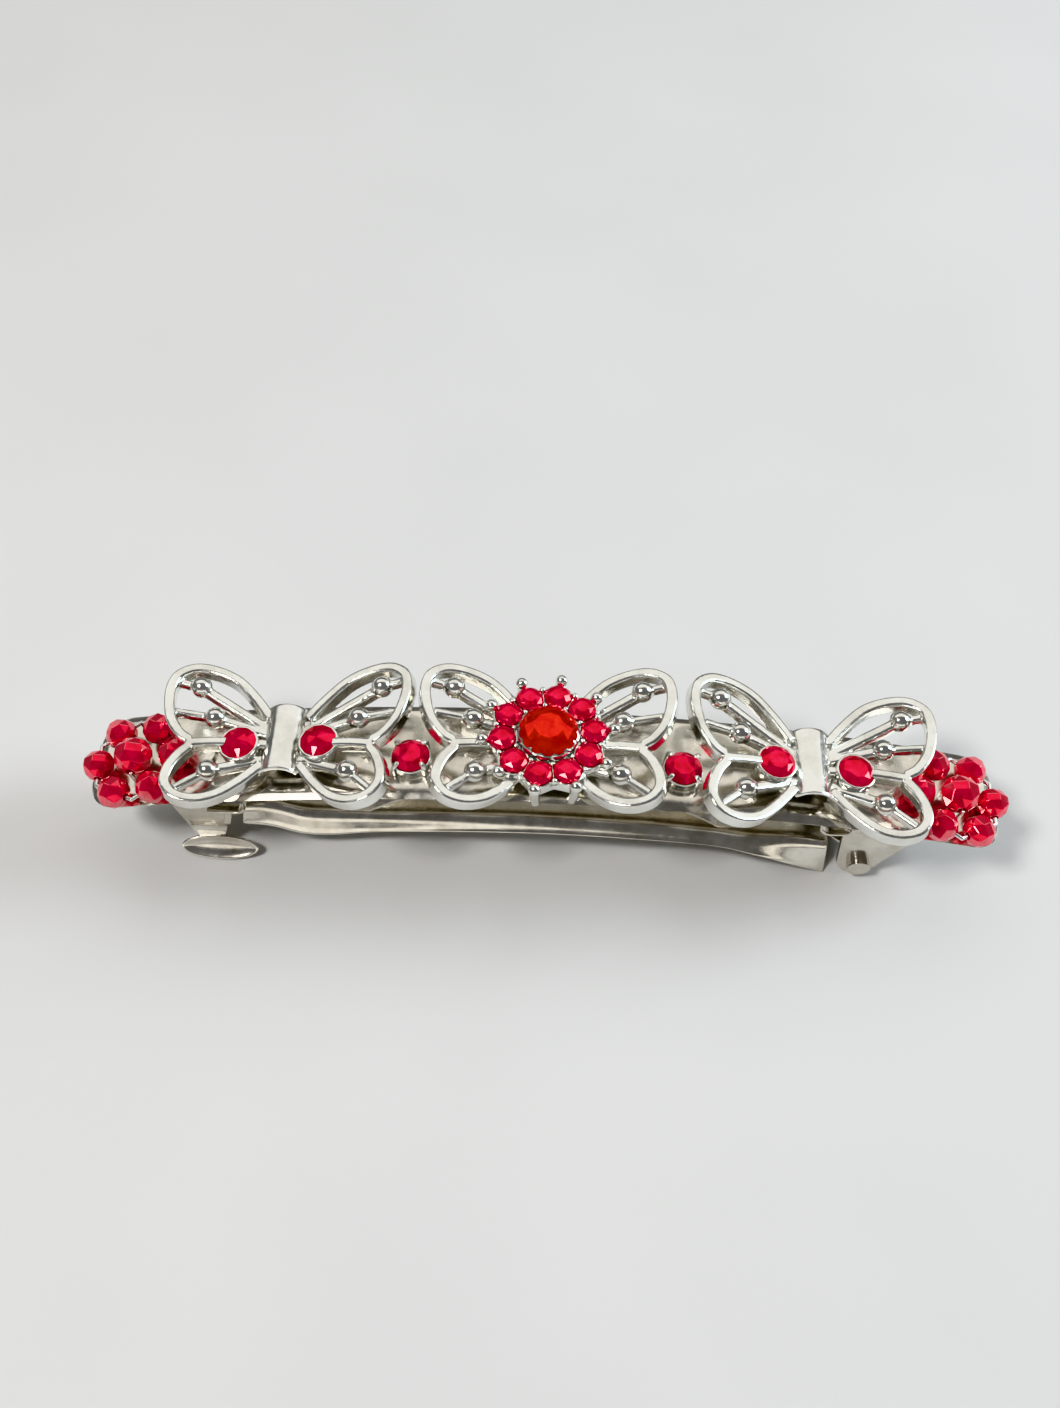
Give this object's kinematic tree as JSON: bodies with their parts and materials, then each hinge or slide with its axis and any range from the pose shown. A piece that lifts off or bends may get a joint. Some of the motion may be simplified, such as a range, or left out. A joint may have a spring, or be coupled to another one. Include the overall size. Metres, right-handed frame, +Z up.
{
  "type": "hair clip",
  "caption": "Arched spring hair clip with openwork butterflies, a stone flower and bead flowers on top, a hinged lever arm and a pinch latch beneath.",
  "frame": {"origin": "middle of the clip's footprint, on the surface it stands on when closed", "axes": "+X along the clip from the latch to the hinge, -Y to the front, +Z up through the top plate"},
  "size_m": [0.081, 0.0142, 0.0157],
  "materials": {
    "clip_steel": "bright nickel plate",
    "cast_silver": "bright rhodium-look plate",
    "wire": "drawn wire",
    "rhinestone": "foil-backed cut glass",
    "centre_rhinestone": "foil-backed cut glass",
    "bead_glass": "fire-polished glass"
  },
  "bodies": {
    "clip": {"flower_centre_cup": "cast_silver", "flower_centre_stone": "centre_rhinestone", "flower_setting": "cast_silver", "flower_stone_1": "rhinestone", "flower_stone_10": "rhinestone", "flower_stone_2": "rhinestone", "flower_stone_3": "rhinestone", "flower_stone_4": "rhinestone", "flower_stone_5": "rhinestone", "flower_stone_6": "rhinestone", "flower_stone_7": "rhinestone", "flower_stone_8": "rhinestone", "flower_stone_9": "rhinestone", "hinge_pin": "clip_steel", "latch_base": "clip_steel", "latch_rivet": "clip_steel", "left_bead_1": "bead_glass", "left_bead_2": "bead_glass", "left_bead_3": "bead_glass", "left_bead_4": "bead_glass", "left_bead_5": "bead_glass", "left_bead_6": "bead_glass", "left_bead_centre": "bead_glass", "left_bead_wire": "wire", "left_butterfly_band": "cast_silver", "left_butterfly_cup_left": "cast_silver", "left_butterfly_cup_right": "cast_silver", "left_butterfly_stem": "cast_silver", "left_butterfly_stone_left": "rhinestone", "left_butterfly_stone_right": "rhinestone", "left_butterfly_wings": "cast_silver", "left_single_cup": "cast_silver", "left_single_stone": "rhinestone", "middle_butterfly_stem": "cast_silver", "middle_butterfly_wings": "cast_silver", "right_bead_1": "bead_glass", "right_bead_2": "bead_glass", "right_bead_3": "bead_glass", "right_bead_4": "bead_glass", "right_bead_5": "bead_glass", "right_bead_6": "bead_glass", "right_bead_centre": "bead_glass", "right_bead_wire": "wire", "right_butterfly_band": "cast_silver", "right_butterfly_cup_left": "cast_silver", "right_butterfly_cup_right": "cast_silver", "right_butterfly_stem": "cast_silver", "right_butterfly_stone_left": "rhinestone", "right_butterfly_stone_right": "rhinestone", "right_butterfly_wings": "cast_silver", "right_single_cup": "cast_silver", "right_single_stone": "rhinestone", "top_plate": "clip_steel"},
    "lever": {"lever_arm": "clip_steel", "tension_spring": "clip_steel", "spring_rivets": "clip_steel"},
    "latch_front": {"latch_ear_front": "clip_steel"},
    "latch_back": {"latch_ear_back": "clip_steel"}
  },
  "joints": [
    {"name": "lever_hinge", "type": "hinge", "parent": "clip", "child": "lever", "pos_m": [0.0284, 0, 0.0019], "axis": [0, -1, 0], "range_deg": [0, 95]},
    {"name": "front_ear_pinch", "type": "hinge", "parent": "clip", "child": "latch_front", "pos_m": [-0.03, -0.00375, 0.0072], "axis": [1, 0, 0], "range_deg": [0, 5], "stiffness_Nm_per_rad": 0.05},
    {"name": "back_ear_pinch", "type": "hinge", "parent": "clip", "child": "latch_back", "pos_m": [-0.03, 0.00375, 0.0072], "axis": [-1, 0, 0], "range_deg": [0, 5], "stiffness_Nm_per_rad": 0.05}
  ]
}
